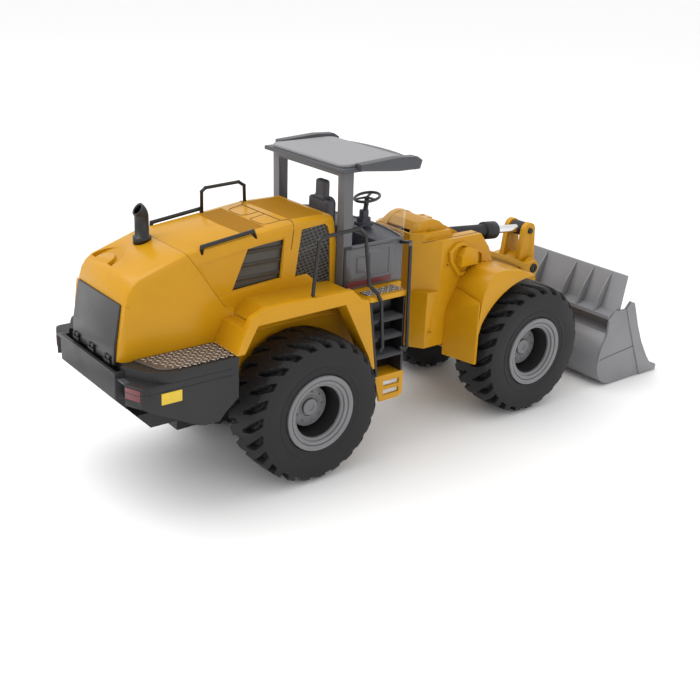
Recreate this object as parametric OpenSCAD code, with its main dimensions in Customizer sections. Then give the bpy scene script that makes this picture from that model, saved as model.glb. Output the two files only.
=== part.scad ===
// Articulated toy wheel loader, about 1:14, built as the real toy comes apart.
// Shared frame: +X is forward, +Y is the machine's left, +Z is up. The origin is on the ground, below the
// middle of the machine's length. Inside each module x is measured forward from the rear axle, and forward()
// moves it into the shared frame.

/* [Running gear] */
// Distance between the two axles
wheelbase = 275; // [274:1:277]
// Radius of the tyres over the lugs
tyre_r = 69; // [68.5:0.1:69]
// Distance from the centre line to the middle of a tyre
half_track = 68.5; // [68.5:0.1:70]
// Width of a tyre over its shoulders
tyre_w = 47; // [45:1:47]
// Radius of the rim flange
rim_r = 38.9; // [37:0.1:40]
// Number of lugs on each shoulder
lug_count = 24; // [18:1:28]

/* [Rear body] */
// Half width over the fenders and the bumper
fender_y = 84; // [82:1:84]
// Half width of the hood at the deck
hood_y = 46; // [46:0.1:46.5]
// Height of the checker plate deck
deck_z = 137; // [137:0.5:138]
// Wall thickness of the moulded shells
wall = 2.4; // [2:0.1:2.6]

/* [Cab] */
// Half width of the cab tub
cab_y = 56; // [55:0.5:56]
// Height of the cab floor
cab_floor_z = 163; // [163:0.5:163.5]
// Height of the sill where the glass starts
sill_z = 205; // [203:1:207]
// Height of the roof slab's underside
roof_z = 274; // [272:1:274]

/* [Linkage] */
// Distance forward from the rear axle to the steering pin
steer_x = 137.5; // [137:0.5:138]
// Radius of the steering pin
steer_pin_r = 5; // [4:0.5:5]
// Radius of the smaller linkage pins
pin_r = 3; // [2.5:0.1:3]
// Radial clearance between a pin and its bore
bore_gap = 0.05; // [0.03:0.01:0.1]

/* [Bucket] */
// Half width of the bucket inside its side plates
bucket_y = 93; // [90:1:93]
// Plate thickness of the bucket shell
bucket_wall = 2.6; // [2.2:0.1:3]

/* [Hidden] */
$fn = 48;
eps = 0.01;

yellow = "#dea028";
charcoal = "#3c3c3e";
cab_grey = "#7a7b7e";
steel = "#8c8c8e";
black = "#1e1e20";

rear_to_origin = -156;
axle_z = tyre_r;
axle_r = 4;
tyre_outer_y = half_track + tyre_w / 2;
tyre_inner_y = half_track - tyre_w / 2;
bulge_y = tyre_outer_y + 5;

// Linkage points, [forward from the rear axle, height]
boom_pivot = [182, 182];
crank_pivot = [340, 130];
rod_eye = [340.5, 169.5];
link_top = [316, 106];
bucket_hinge = [374, 36];
link_foot = [369.8, 59.6];
lift_base = [178, 86];
lift_eye = [285, 120];
trunnion_r = 2.6;
arm_in = 18;
arm_out = 26;
crank_pin_y = 24;

// Heights and depths shared by the rear body
fender_top_z = 173;
hood_front_x = 48.5;
hood_rear_x = -170;
tub_y = 42;
tub_rear_x = 49.2;
chassis_y = 33;
tail_x = -178;
engine_top = deck_z + 4;
shoulder_r = 5.5;

function arc(c, r, a0, a1, n) =
    [for (i = [0:n]) c + r * [cos(a0 + (a1 - a0) * i / n), sin(a0 + (a1 - a0) * i / n)]];

module forward() translate([rear_to_origin, 0, 0]) children();

module both_sides() {
    children();
    mirror([0, 1, 0]) children();
}

// A side view outline made solid between two distances from the centre line
module side_view(y0, y1) translate([0, y1, 0]) rotate([90, 0, 0]) linear_extrude(y1 - y0) children();

module plan_view(z0, z1) translate([0, 0, z0]) linear_extrude(z1 - z0) children();

module box(x, y, z) translate([x[0], y[0], z[0]]) cube([x[1] - x[0], y[1] - y[0], z[1] - z[0]]);

module pin_across(p, r, y0, y1)
    translate([p[0], y0, p[1]]) rotate([-90, 0, 0]) cylinder(r = r, h = y1 - y0);

// A straight round bar from one point to another
module bar(a, b, r) {
    d = b - a;
    turn = [0, acos(d[2] / norm(d)), atan2(d[1], d[0])];
    translate(a) rotate(turn) cylinder(r = r, h = norm(d), $fn = 24);
}

// A bar bent through several points, with a slightly larger ball at each bend
module bent_bar(points, r) {
    bend_r = r + 0.2;
    for (i = [0:len(points) - 2]) bar(points[i], points[i + 1], r);
    for (p = points) translate(p) sphere(r = bend_r, $fn = 24);
}

// ---------------------------------------------------------------- wheels
module tyre_profile() {
    outer = tyre_outer_y - half_track;
    polygon(concat(
        [[rim_r, -outer], [rim_r + 10, -outer - 1.4]],
        [[tyre_r - 10, -outer - 1.2], [tyre_r - 4, -outer], [tyre_r - 4, outer], [tyre_r - 10, outer + 3]],
        [[rim_r + 10, outer + 5], [rim_r, outer + 4], [rim_r - 2, outer - 2], [rim_r - 2, -outer + 2]]
    ));
}

module lug(side) {
    lug_w = 9;
    reach = tyre_w / 2 + 0.5;
    translate([0, 0, side * 0.5])
        rotate([side * 14, 0, 0])
            translate([tyre_r - 6, -lug_w / 2, side > 0 ? 0 : -reach])
                cube([6, lug_w, reach]);
}

// A tyre with its axis along Z and its outer face towards +Z
module tyre() color(black) {
    rotate_extrude($fn = 96) tyre_profile();
    intersection() {
        rotate_extrude($fn = 96)
            translate([tyre_r - 6, -tyre_w / 2])
                square([6, tyre_w]);
        for (i = [0:lug_count - 1], side = [-1, 1])
            rotate(i * 360 / lug_count + (side > 0 ? 0 : 180 / lug_count)) lug(side);
    }
}

module rim() color(steel) {
    outer = tyre_outer_y - half_track;
    face = outer - 22;
    bolt_circle = 14;
    bolts = 8;
    difference() {
        union() {
            rotate_extrude($fn = 96)
                polygon([
                    [axle_r, face - 10], [rim_r - 7, face - 10], [rim_r - 5, -outer + 2],
                        [rim_r - 2, -outer + 2],
                    [rim_r - 2, outer - 2], [rim_r, outer + 4], [rim_r - 0.6, outer + 5],
                        [rim_r - 5, outer + 5], [rim_r - 6, outer + 3], [rim_r - 8, outer + 3],
                    [rim_r - 8.6, outer - 1], [rim_r - 10, outer - 1], [rim_r - 12, face], [18, face],
                    [17, face + 8], [9, face + 9], [9, face + 11], [axle_r, face + 11]
                ]);
            for (i = [0:bolts - 1])
                rotate(i * 360 / bolts) translate([bolt_circle - 0.5, 0, face + 7])
                    cylinder(r = 1.3, h = 2.6, $fn = 20);
        }
        translate([0, 0, face - 11]) cylinder(r = axle_r + eps, h = 12 + 9);
    }
}

module at_wheel(x, side) forward() translate([x, side * half_track, axle_z]) rotate([-90 * side, 0, 0])
    children();

// The solid axle: a shaft through both rims with a driven boss at its middle
module axle(x) color(steel) forward() {
    end_y = half_track + tyre_w / 2 - 22 + 8;
    pin_across([x, axle_z], axle_r, -end_y, end_y);
}

// ---------------------------------------------------------------- rear body
module rear_chassis() color(charcoal) forward() {
    difference() {
        union() {
            box([-111, 112], [-chassis_y, chassis_y], [56, 93]);
            box([-78, 112], [-tub_y, tub_y], [93, 96]);
            for (z = [84, 106.5]) hitch_lug(z, 11.5, 12);
            box([110, 118], [-12, 12], [84, 93]);
            box([112, 118], [-12, 12], [93, 118]);
        }
        box([-108, 109], [-chassis_y + 3, chassis_y - 3], [59, 97]);
        pin_across([0, axle_z], axle_r + bore_gap, -40, 40);
        translate([steer_x, 0, 80]) cylinder(r = steer_pin_r + bore_gap, h = 45);
    }
}

// One hitch lug: a plate with a round end about the steering pin
module hitch_lug(z, h, r) {
    translate([steer_x, 0, z]) cylinder(r = r, h = h);
    box([112, steer_x], [-r, r], [z, z + h]);
}

module engine_deck() color(yellow) forward() difference() {
    union() {
        box([-78, 112], [-tub_y, tub_y], [96, engine_top - 2]);
        box([-78, 118], [-hood_y, hood_y], [engine_top - 2, engine_top]);
    }
    box([-79, 109], [-tub_y + wall, tub_y - wall], [95, engine_top - 2]);
}

// The hood's rear and top edge seen from the side, from the grille forward
hood_top = concat(
    arc([-138, 184], 25, 172, 118, 3),
    [[-107, 220.5], [2, 233], [hood_front_x - 4, 233]]
);

function hood_side(d) = concat(
    [[hood_rear_x + d, deck_z - 1], [hood_rear_x + d + 1.4, 150]],
    arc([-138, 184], 25 - d, 172, 118, 3),
    [[-107, 220.5 - d], [2, 233 - d], [hood_front_x - 4 - d, 233 - d]],
    [[hood_front_x - d, 205], [hood_front_x - d, deck_z - 1]]
);

// What is cut off the square upper edges to leave a rounded shoulder along the top
module hood_shoulders() both_sides() for (i = [0:len(hood_top) - 2]) {
    run = hood_top[i + 1] - hood_top[i];
    r = shoulder_r;
    translate([hood_top[i][0], hood_y, hood_top[i][1]]) rotate([0, -atan2(run[1], run[0]), 0])
        rotate([90, 0, 90]) translate([0, 0, -3]) linear_extrude(norm(run) + 6)
            polygon(concat([[1, 1], [-r, 1]], arc([-r, -r], r, 90, 0, 2), [[1, -r]]));
}

function hood_plan(d) = concat(
    arc([hood_rear_x + 8, -hood_y + 8], 8 - d, 270, 180, 6),
    arc([hood_rear_x + 8, hood_y - 8], 8 - d, 180, 90, 6),
    [[hood_front_x + 5, hood_y - d], [hood_front_x + 5, -hood_y + d]]
);

module hood_solid(d) intersection() {
    side_view(-50, 50) polygon(hood_side(d));
    plan_view(deck_z - 2, 240) polygon(hood_plan(d));
}

module hood_body() difference() {
    hood_solid(0);
    hood_shoulders();
}

module hood_shell() difference() {
    hood_body();
    hood_solid(wall);
    box([-78, 60], [-60, 60], [deck_z - 3, engine_top]);
    box([-190, -70], [-60, 60], [deck_z - 3, deck_z]);
}

// The slanted joint between the rear and the front hood, seen from the side
seam = [[-106.7, 245], [-106.7, 221.4], [-73.5, 173], [-68, 167], [-60, 166.5], [-60, 130]];

module hood_rear() color(yellow) forward() difference() {
    union() {
        hood_shell();
        intersection() {
            hood_body();
            recess_place() translate([0, 0, -wall]) cylinder(r = 21.4, h = 30);
        }
    }
    side_view(-60, 60) polygon(concat(seam, [[60, 130], [60, 245]]));
    grille_pocket();
    recess();
}

module hood_front() color(yellow) forward() difference() {
    hood_shell();
    side_view(-60, 60) polygon(concat([for (p = seam) p + [0.4, 0]], [[-200, 130], [-200, 245]]));
    both_sides() {
        side_view(hood_y - 0.8, 50) polygon(inset_outline);
        side_view(40, 50) polygon(louvre_outline);
        side_view(40, 50) polygon(mesh_outline);
    }
}

// Finger recess on the hood's rear top, a half disc sunk into the shell
module recess_place() translate([-148.3, 20, 202]) rotate([0, -32, 0]) children();

module recess() recess_place() difference() {
    cylinder(r = 19, h = 30);
    box([-30, -1], [-30, 30], [-1, 31]);
    translate([0, 0, -1]) cylinder(r = 11, h = 8);
}

grille_half = 39.5;
module grille_pocket() side_view(-grille_half, grille_half)
    polygon([[-175, 130], [-175, 185], [-162.8, 185], [-168.5, 150], [-169.1, 136], [-169.1, 130]]);

module rear_grille() color("#4c4c4e") forward() {
    side_view(-grille_half + 0.2, grille_half - 0.2)
        polygon([[-172.2, 134], [-171, 152], [-164.8, 184.8], [-163, 184.8], [-168.7, 151],
            [-169.3, 134]]);
    for (y = [-30, 0, 30])
        pin_across([-172.3, 139], 1.3, y - 4, y + 4);
}

// Plan of the bumper's rounded upper rim, under the deck
rim_plan = concat(
    [[-79, -fender_y]],
    arc([-140, -fender_y + 22], 22, 270, 212, 6),
    [[-168, -56], [-171, -50], [-171, 50], [-168, 56]],
    arc([-140, fender_y - 22], 22, 148, 90, 6),
    [[-79, fender_y]]
);

// Plan of the squarer lower body: a flat centre panel, a notch and a slanted lamp face on each side
lamp_face = [[-176, 66], [-169.5, 82]];
body_half_plan = [[-178, 53], [-171, 54], [-171, 62], lamp_face[0], lamp_face[1], [-166, fender_y],
    [-79, fender_y]];
body_bottom = [
    [-79, 130], [-180, 130], [-180, 109], [-169, 110], [-154, 102], [-142, 96], [-121, 85], [-112, 82],
        [-98, 82],
    [-93, 88], [-79, 100]
];

module bumper() color(charcoal) forward() difference() {
    union() {
        plan_view(128, deck_z) polygon(rim_plan);
        intersection() {
            both_sides() plan_view(80, 128.5) polygon(concat([[-79, -1], [-178, -1]], body_half_plan));
            side_view(-90, 90) polygon(body_bottom);
        }
        box([tail_x, -170], [-53, 53], [109, 133]);
        side_view(-48, 48) polygon([[tail_x, 109], [-144, 73.5], [-111.2, 73.5], [-111.2, 109]]);
    }
    plan_view(88, deck_z - 3) polygon([[-76, -80], [-146, -79], [-166, -50], [-166, 50], [-146, 79],
        [-76, 80]]);
    box([-111, -70], [-tub_y - 0.3, tub_y + 0.3], [60, deck_z - 3]);
    box([-175, -168], [-50, 50], [118, 140]);
    box([-180, -174], [-54, 54], [133, 140]);
    both_sides() {
        lamp_block(0.2);
        box([-152.7, -133.3], [fender_y - 0.6, fender_y + 1], [110.3, 120.7]);
    }
}

// A tail lamp set square to the bumper's slanted lamp face
lamp_w = 16;
lamp_h = 10;
module lamp_block(grow) {
    mid = (lamp_face[0] + lamp_face[1]) / 2;
    face = lamp_face[1] - lamp_face[0];
    translate([mid[0], mid[1], 116]) rotate([0, 0, -atan2(face[0], face[1])])
        translate([-0.6, -lamp_w / 2 - grow, -grow]) cube([4, lamp_w + 2 * grow, lamp_h + 2 * grow]);
}

module tail_lamps() color("#6e323e") forward() both_sides() lamp_block(0);

module side_reflectors() color("#e0c020") forward() both_sides()
    box([-152.5, -133.5], [fender_y - 0.6, fender_y + 0.2], [110.5, 120.5]);

// Tread plates: one on the deck at each side of the hood and a strip on each side of the cab platform
module tread_plates() color(steel) forward() both_sides() {
    plan_view(deck_z, deck_z + 1.2) polygon(concat(
        [[-84, hood_y + 0.5], [-84, 79], [-138, 79]],
        arc([-138, 65], 14, 90, 150, 5),
        [[-158, hood_y + 0.5]]
    ));
    box([61, 102], [67, 78], [cab_floor_z, cab_floor_z + 1]);
}

// The fender's side outline with its outer flare, and the step cut away inside the flare
flare_z = fender_top_z + 1.5;
flare_w = 6;
fender_outline = [
    [-81, 137.6], [-67, 168], [-52, flare_z], [40, flare_z], [52, cab_floor_z], [59.6, cab_floor_z - 1],
    [70, 92], [67, 92], [62, 106], [33, 162], [-60, 160.5], [-73, 137.6]
];
fender_step = [
    [-90, 157.8], [-62, 157.8], [-49, fender_top_z], [40, fender_top_z], [51.9, cab_floor_z],
        [60, cab_floor_z],
    [60, 180], [-90, 180]
];

module rear_fenders() color(yellow) forward() both_sides() difference() {
    side_view(hood_y, fender_y) polygon(fender_outline);
    side_view(hood_y - 1, fender_y - flare_w) polygon(fender_step);
    box([44.2, 80], [30, 61], [60, 190]);
    box([20, 80], [30, 66], [60, 160]);
}

module exhaust_bend(r) translate([-9, 0, 239]) rotate([90, 0, 0]) rotate_extrude(angle = 52)
    translate([9, 0]) circle(r = r);

module exhaust_stack() color(black) forward() difference() {
    translate([-114.5, 16, 0]) difference() {
        union() {
            translate([0, 0, 205]) cylinder(r = 8, h = 17);
            translate([0, 0, 205]) cylinder(r = 6.2, h = 34);
            exhaust_bend(6.2);
        }
        translate([0, 0, 223]) cylinder(r = 4.6, h = 16 + eps);
        exhaust_bend(4.6);
        box([-40, -9.6], [-10, 10], [227, 267]);
    }
    hood_body();
}

module hood_rails() color(black) forward() difference() {
    r = 1.6;
    union() {
        both_sides() bent_bar([[-91.4, 44, 215], [-90.3, 44, 224], [-40.2, 44, 230.2], [-36.8, 44, 222]],
            r + 0.2);
        bent_bar([[-42, 38.4, 222], [-42, 38.4, 247.5], [-38, 38.4, 250.5], [-2.5, 38.4, 252],
            [3.5, 38.4, 248], [4.5, 38.4, 225]], r);
    }
    hood_body();
}

louvre_outline = [[-45.7, 216], [-8.4, 219], [-11.9, 184], [-61.7, 180.5]];
mesh_outline = [[10, 225], [35, 227], [38.5, 224], [41.3, 216], [43.3, 168], [37.7, 166], [16.8, 183],
    [3.7, 182.5]];
// A shallow panel pressed into the front hood's side around the louvre
inset_outline = [[-99, 208.5], [-88, 210.5], [-39, 216.7], [-8.5, 221], [-9.5, 198.5], [-11.5, 183.1],
    [-38.8, 181.4], [-76, 177.7]];

module side_louvres() color("#55514c") forward() both_sides() {
    side_view(41, 42.4) polygon(louvre_outline);
    slats = 3;
    for (i = [0:slats - 1])
        intersection() {
            side_view(41, 45.2) polygon(louvre_outline);
            translate([-35, 42.2, 190 + i * 11.5]) rotate([-35, 0, 0]) box([-40, 40], [0, 2], [-9, 1]);
        }
}

module mesh_panels() color("#48484a") forward() both_sides() side_view(41.6, 44.2) polygon(mesh_outline);

module cab_platform() color(yellow) forward() {
    difference() {
        union() {
            box([tub_rear_x, 60.6], [-hood_y, hood_y], [engine_top, cab_floor_z]);
            box([60.6, 118], [-60, 60], [engine_top, cab_floor_z]);
            box([60.6, 104], [-fender_y, fender_y], [cab_floor_z - 5, cab_floor_z]);
        }
        box([tub_rear_x + wall, 115.5], [-hood_y + wall, hood_y - wall],
            [engine_top - 1, cab_floor_z - wall]);
    }
}

// ---------------------------------------------------------------- cab
glass_r = 158;
glass_x = 131 - glass_r;

module cab_plan(d) intersection() {
    translate([glass_x, 0]) circle(r = glass_r - d, $fn = 180);
    translate([tub_rear_x + d, -cab_y + d]) square([120, 2 * (cab_y - d)]);
}

module cab_tub() color(cab_grey) forward() difference() {
    plan_view(cab_floor_z, sill_z) cab_plan(0);
    plan_view(cab_floor_z + 3, sill_z + 1) cab_plan(wall);
    box([44, 54], [-30, 30], [sill_z - 12, sill_z + 1]);
}

module door_panels() color("#8a8b8e") forward() both_sides() {
    difference() {
        side_view(cab_y, cab_y + 1.6) polygon([[52, 166], [106, 166], [109, 176], [109, 202], [52, 202]]);
        side_view(cab_y + 0.9, cab_y + 2) polygon([[62, 176], [80, 176], [80, 196], [62, 196]]);
        side_view(cab_y + 0.9, cab_y + 2) polygon([[84, 174], [103, 174], [103, 198], [90, 198],
            [84, 192]]);
    }
    side_view(cab_y + 0.9, cab_y + 1.8) polygon([[65, 179], [77, 179], [77, 193], [65, 193]]);
}

pillar_in = 46.3;
module cab_pillars() color(cab_grey) forward() {
    both_sides() side_view(pillar_in, cab_y) polygon([[49.4, sill_z], [59, sill_z], [58, roof_z],
        [47.8, roof_z]]);
    side_view(-pillar_in - 1, pillar_in + 1) polygon([[48, roof_z - 5], [52, roof_z - 5], [52, roof_z],
        [47.8, roof_z]]);
}

module cab_roof() color("#b4b4b4") forward() {
    box([41, 122], [-62, 62], [roof_z, roof_z + 4]);
    box([44, 118], [-57.5, 57.5], [roof_z + 4, roof_z + 7]);
}

module roof_visor() color("#5a5a5c") forward() difference() {
    union() {
        both_sides() side_view(58, 67) polygon([[57.5, roof_z + 2], [57.5, roof_z + 7.5],
            [101, roof_z + 10], [122, roof_z + 9], [128.5, roof_z + 5], [126, roof_z - 2.7],
            [101, roof_z - 2.4], [62, roof_z + 1.5]]);
        intersection() {
            translate([glass_x + 8, 0, roof_z - 2.8]) cylinder(r = glass_r, h = 5.4, $fn = 180);
            box([118.4, 150], [-67, 67], [roof_z - 4, roof_z + 11]);
        }
    }
    box([40, 122.3], [-62.2, 62.2], [roof_z - 10, roof_z + 4.2]);
    box([40, 118.2], [-57.7, 57.7], [roof_z, roof_z + 12]);
}

module windscreen() color([0.8, 0.9, 0.95, 0.35]) forward() intersection() {
    difference() {
        translate([glass_x, 0, sill_z]) cylinder(r = glass_r - 0.2, h = roof_z - sill_z, $fn = 180);
        translate([glass_x, 0, sill_z - 1]) cylinder(r = glass_r - 1.6, h = roof_z - sill_z + 2, $fn = 180);
    }
    union() {
        box([100, 140], [-cab_y, cab_y], [sill_z, roof_z - 3]);
        box([100, 122], [-cab_y, cab_y], [sill_z, roof_z]);
    }
}

module dashboard() color("#50505a") forward() difference() {
    plan_view(cab_floor_z + 20, sill_z - 1) intersection() {
        cab_plan(wall);
        translate([92, -60]) square([60, 120]);
    }
    translate([column[0], column[1], 170]) cylinder(r = 5.2, h = 60);
}

// Foot of the steering column, under the wheel
column = [112, -6.5];
module steering_wheel() color("#555558") forward() {
    hub = [115, -6.5, 233];
    translate([column[0], column[1], cab_floor_z + 3]) cylinder(r = 5, h = 40);
    bar([column[0], column[1], cab_floor_z + 42], hub, 2.4);
    translate(hub) rotate([0, -12, 0]) {
        rotate_extrude() translate([12.2, 0]) circle(r = 1.4, $fn = 20);
        for (a = [30, 150, 270]) rotate(a) translate([0, -1, -0.8]) cube([12, 2, 1.6]);
    }
}

module driver_seat() color("#66666c") forward() {
    box([60, 92], [-15, 15], [cab_floor_z + 3, 196]);
    box([60, 70], [-15, 15], [196, 238]);
    box([62, 70], [-7.5, 7.5], [238, 255]);
}

// An arched rail on the right fender only, and an upright rail beside each doorway
module cab_grab_rails() color(black) forward() {
    r = 1.7;
    mirror([0, 1, 0]) bent_bar([[-1, 80, 176.5], [4, 80, 224], [7, 80, 227], [48, 80, 229], [55, 80, 222],
        [62, 80, 174],
        [67, 86.2, 167], [72, 86.2, 158], [76, 86.2, 113], [74, 85.8, 110]], r);
    both_sides() bent_bar([[117, 57.8, 201], [112, 76, 206], [103, 86.2, 205], [106, 86.2, 108],
        [103, 86.2, 105], [99, 85.8, 108]], r);
}

ladder_top = [60.6, 157.8];
module step_ladders() color(black) forward() both_sides() {
    side_view(64, 66) polygon([ladder_top, [103, 157.8], [104, 83], [72, 83]]);
    side_view(66, fender_y) polygon([ladder_top, [63, 157.8], [74.4, 83], [72, 83]]);
    side_view(66, fender_y) polygon([[100.6, 157.8], [103, 157.8], [104, 83], [101.6, 83]]);
    for (z = [101.5, 120, 138]) {
        x = 60.6 + (157.8 - z) * 0.152 + 2.3;
        box([x, 101.3], [70, fender_y], [z - 1.5, z + 1.5]);
    }
}

module step_brackets() color(yellow) forward() both_sides() difference() {
    union() {
        box([70, 106], [64, fender_y], [79.4, 82.9]);
        side_view(fender_y - 3, fender_y) polygon([[70, 82.9], [106, 82.9], [106, 59], [100, 56],
            [78, 56]]);
    }
    for (z = [62, 71]) box([82, 101], [70, 90], [z, z + 5]);
}

module steering_pin() color(steel) forward() translate([steer_x, 0, 82]) {
    cylinder(r = steer_pin_r, h = 38);
    cylinder(r = steer_pin_r + 2.5, h = 2);
}

module battery_pack() color("#3a5c8c") forward() box([-70, 0], [-32, 32], [96, 122]);

module receiver_board() color("#2c6e40") forward() {
    box([20, 90], [-26, 26], [118, 119.6]);
    box([30, 48], [-10, 8], [119.6, 123]);
    box([60, 74], [-18, -4], [119.6, 127]);
    for (x = [30, 86], y = [-24, 24]) translate([x, y, 59]) cylinder(r = 2.2, h = 59, $fn = 20);
}

module gearbox(x) difference() {
    union() {
        box([x - 20, x + 21], [-22, 22], [59, 84]);
        translate([x + 21, 0, 72]) rotate([0, 90, 0]) cylinder(r = 10, h = 26);
    }
    pin_across([x, axle_z], axle_r + 0.3, -40, 40);
}

module rear_gearbox() color("#d8d8d0") forward() gearbox(0);

module body_screws() color(steel) forward() for (x = [-90, 100], side = [-1, 1])
    translate([x, side * 26, 54.6]) cylinder(r = 2.6, h = 1.4, $fn = 24);

// ---------------------------------------------------------------- front frame
tower_y = 45;
channel_y = 30;

module front_frame() color(yellow) forward() difference() {
    union() {
        intersection() {
            union() {
                side_view(-tower_y, tower_y) polygon([[155, deck_z], [155, 189], [235, 189], [247.7, 173],
                    [255.7, 154.7], [258, 140], [258, deck_z]]);
                side_view(-35, 35) polygon([[155, 188], [155, 195.5], [201, 195.5], [206, 188]]);
            }
            plan_view(deck_z - 1, 200) polygon([[155, 27], [182, tower_y], [270, tower_y], [270, -tower_y],
                [182, -tower_y],
                [155, -27]]);
        }
        plan_view(78, deck_z) polygon([[155, 30], [166.5, tower_y], [205, tower_y], [205, -tower_y],
            [166.5, -tower_y], [155, -30]]);
        side_view(-36, 36) polygon([[205, 78], [205, deck_z], [258, deck_z], [300, 92], [300, 56],
            [225, 56]]);
        hitch_tongue();
    }
    box([157.4, 310], [-27, 27], [92, 210]);
    box([176, 310], [-channel_y, channel_y], [92, 210]);
    box([164, 246], [-20, 20], [59, 93]);
    box([246, 297], [-channel_y, channel_y], [50, 93]);
    pin_across(boom_pivot, 5 + eps, -41, 41);
    pin_across(lift_base, pin_r + eps, -26, 26);
    pin_across([wheelbase, axle_z], axle_r + bore_gap, -40, 40);
    both_sides() for (p = [[190, 163], [172, 95]]) pin_across(p, 1.9, 40, 50);
    translate([steer_x, 0, 80]) cylinder(r = steer_pin_r + bore_gap, h = 45);
}

module hitch_tongue() {
    translate([steer_x, 0, 96]) cylinder(r = 12, h = 10);
    box([steer_x, 161], [-12, 12], [96, 106]);
}

// Outer edge of the front fender in side view, from its front tip back and down to its foot
front_fender_outline = [
    [277, 147.9], [277, 149.4], [270, 151.2], [259, 156.3], [231.4, 160.9], [220.4, 159.6], [211.7, 151.8],
    [206.3, 140.3], [204, 125], [201.5, 104], [200.5, 66.5], [203.5, 66.5], [203.5, 98]
];

module front_fenders() color(yellow) forward() both_sides() difference() {
    union() {
        side_view(tower_y, fender_y) polygon(concat(
            front_fender_outline,
            arc([wheelbase, axle_z], 79, 150, 92, 12)
        ));
        intersection() {
            plan_view(66.5, 142) polygon([[192, tower_y], [200.6, fender_y], [202, fender_y],
                [205, tower_y]]);
            side_view(tower_y, fender_y) polygon([[190, 66.5], [190, 108], [192, 112], [196.5, 123],
                [207, 141], [202, 66.5]]);
        }
    }
    box([186, 241], [tower_y - 1, 50.2], [150, 170]);
}

// A headlamp body inside a raised frame, both standing on a thin back plate
frame_outline = [[204, 150], [191.9, 166], [189.7, 177], [199.8, 184], [208, 184.5], [237, 171],
    [238.5, 150]];
frame_hole = [[206, 153.5], [195.2, 167], [193.2, 175.6], [200.8, 181], [207.4, 181.4], [234, 169.2],
    [235.2, 153.5]];

module headlamp_boxes() color(yellow) forward() both_sides() {
    difference() {
        side_view(tower_y, 49) polygon(frame_outline);
        side_view(tower_y + 1.2, 50) polygon(frame_hole);
    }
    difference() {
        side_view(tower_y + 0.6, 55) polygon([[201, 161.5], [201, 172], [206, 178.5], [213, 180],
            [222, 176.5], [224, 161.5]]);
        box([221.8, 230], [48, 53.5], [163.5, 174.8]);
    }
}

module front_gearbox() color("#d8d8d0") forward() difference() {
    gearbox(wheelbase);
    box([296.5, 340], [-30, 30], [50, 90]);
}

module front_pins() color(steel) forward() {
    pin_across(boom_pivot, 5, -41, 41);
    pin_across(lift_base, pin_r, -26, 26);
}

// ---------------------------------------------------------------- boom and linkage
// A slotted hole: the pin slides in it from lo to hi along the given direction in degrees
module slot(p, r, angle, lo, hi, y0, y1) {
    d = [cos(angle), sin(angle)];
    pin_across(p + lo * d, r, y0, y1);
    pin_across(p + hi * d, r, y0, y1);
    translate([p[0], y0, p[1]]) rotate([0, -angle, 0]) translate([lo, 0, -r])
        cube([hi - lo, y1 - y0, 2 * r]);
}

arm_outline = [
    [186, 205.6], [217, 190], [250, 168], [269.5, 160.2], [293, 152.2], [317, 142], [329, 136.8],
        [340, 138],
    [342.5, 131], [346, 112], [381.1, 38.5], [367, 33.4], [343, 90], [322, 104], [300, 110], [280, 110],
    [230, 136], [170, 162]
];
arm_panel = [
    [224, 179], [252, 160.5], [270, 153.8], [294, 145.6], [318, 134.6], [328, 126], [334, 108], [322, 111],
        [300, 116.5],
    [281, 116.5], [232, 142.5]
];

module boom_arms() color(yellow) forward() {
    difference() {
        union() {
            both_sides() {
                side_view(arm_in, arm_out) polygon(arm_outline);
                pin_across(boom_pivot, 24, arm_in, arm_out);
                pin_across(crank_pivot, 8, arm_in, arm_out);
                pin_across(crank_pivot, 10, arm_in, arm_in + 3);
                pin_across(bucket_hinge, 8, arm_in, arm_out);
            }
            side_view(-arm_in, arm_in) polygon([[164, 196], [170, 203], [182, 206], [190, 203.6],
                [214, 191.5], [213, 189],
                [189, 201], [182, 203.2], [171, 200.5], [165, 195]]);
        }
        both_sides() {
            pin_across(boom_pivot, 5 + bore_gap, 10, 30);
            for (p = [bucket_hinge, lift_eye]) pin_across(p, pin_r + eps, 10, 30);
            pin_across(crank_pivot, pin_r + eps, 10, crank_pin_y);
            side_view(arm_out - 3, arm_out + 1) polygon(arm_panel);
        }
    }
}

module boom_pins() color(charcoal) forward() {
    pin_across(crank_pivot, pin_r, -crank_pin_y, crank_pin_y);
    pin_across(lift_eye, pin_r, -arm_out, arm_out);
    both_sides() pin_across(bucket_hinge, pin_r, 12.6, 32.5);
}

crank_in = 9;
crank_out = 15;
module bell_crank() color(yellow) forward() difference() {
    union() {
        both_sides() side_view(crank_in, crank_out) polygon([[332.1, 172], [328, 138], [307, 114],
            [308, 94], [324, 92], [353, 124], [348.9, 168]]);
        both_sides() pin_across(rod_eye, 8.6, crank_in, crank_out);
        pin_across(crank_pivot, 12, -crank_out, crank_out);
    }
    pin_across(crank_pivot, pin_r + bore_gap, -20, 20);
    pin_across(rod_eye, pin_r + eps, -20, 20);
    slot(link_top, trunnion_r + 1, 86.9, -5, 0.6, -20, 20);
}

module crank_pin() color(charcoal) forward() pin_across(rod_eye, pin_r, -17.5, 17.5);

tilt_len = norm(rod_eye - boom_pivot);
tilt_angle = atan2(rod_eye[1] - boom_pivot[1], rod_eye[0] - boom_pivot[0]);

// Along the tilt cylinder, from the boom pivot towards the rod eye
module along_tilt() forward()
    translate([boom_pivot[0], 0, boom_pivot[1]]) rotate([0, 90 - tilt_angle, 0]) children();

module tilt_rod() color("#c8c8cc") difference() {
    union() {
        along_tilt() translate([0, 0, 60]) cylinder(r = 4.2, h = tilt_len - 66);
        forward() pin_across(rod_eye, 7.4, -7, 7);
    }
    forward() pin_across(rod_eye, pin_r + bore_gap, -20, 20);
}

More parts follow.
